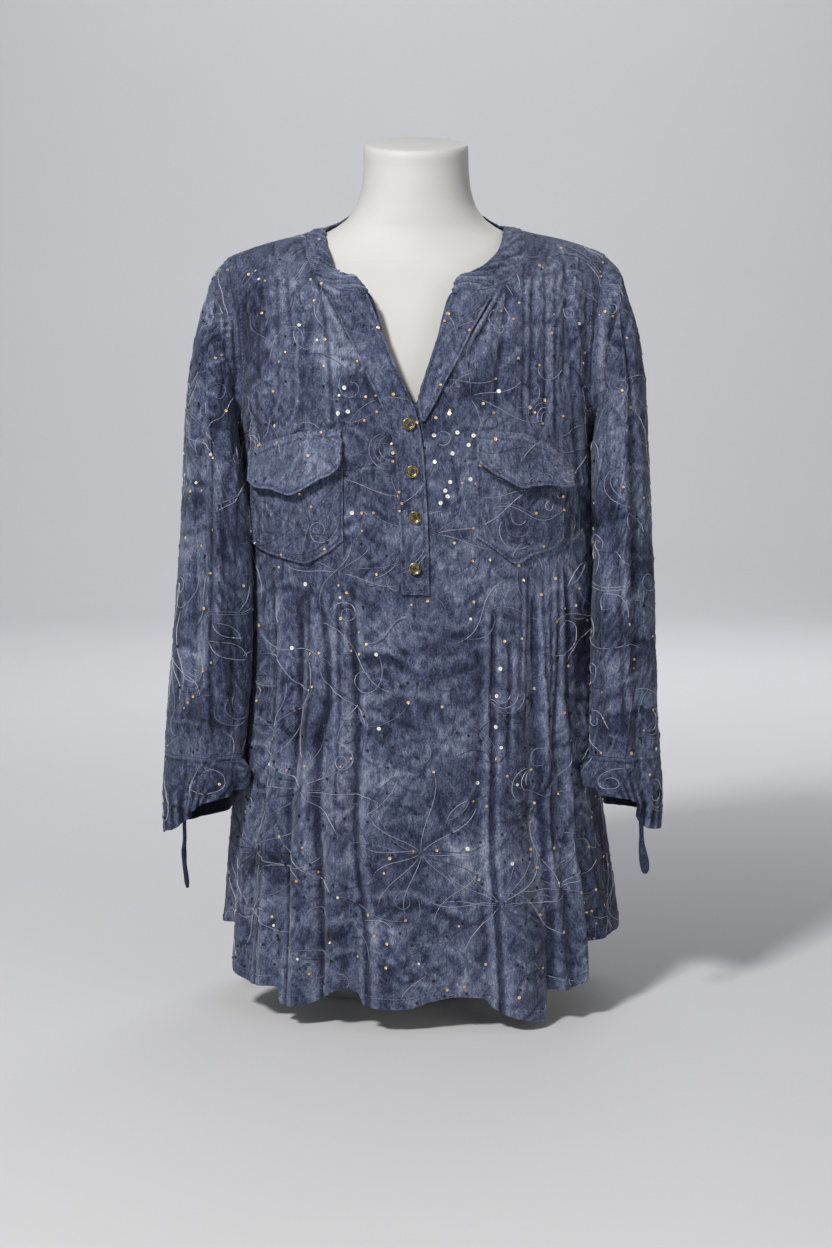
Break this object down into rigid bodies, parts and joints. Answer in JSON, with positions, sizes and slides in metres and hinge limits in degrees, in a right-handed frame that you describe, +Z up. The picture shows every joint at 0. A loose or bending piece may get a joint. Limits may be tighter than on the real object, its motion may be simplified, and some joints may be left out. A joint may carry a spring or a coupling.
{
  "type": "tunic top on a dress form",
  "caption": "Long-sleeved tunic top with a buttoned split neck, flap pockets and tied cuffs, hanging open over a smooth limbless dress form that stands on a flat base.",
  "frame": {"origin": "middle of the dress form's flat base, where it rests", "axes": "+Z up the form to its neck, -Y towards the garment's front, +X towards the wearer's left side"},
  "size_m": [0.4671, 0.3072, 0.8146],
  "materials": {
    "cloth": "thin matt crinkled cotton, unevenly dyed slate blue, with fine pale stitching and scattered sequins",
    "form": "smooth matt white, all over",
    "button": "small four-hole buttons, darkened brass with a shell-like mottle"
  },
  "bodies": {
    "root": {"front": "cloth", "back": "cloth", "neckband": "cloth", "placket_over": "cloth", "placket_under": "cloth", "pocket_r": "cloth", "pocket_l": "cloth", "flap_r": "cloth", "flap_l": "cloth", "sleeve_r": "cloth", "sleeve_l": "cloth", "cuff_r": "cloth", "cuff_l": "cloth", "tie_r": "cloth", "tie_l": "cloth", "button_1": "button", "button_2": "button", "button_3": "button", "button_4": "button", "form": "form"}
  },
  "joints": []
}
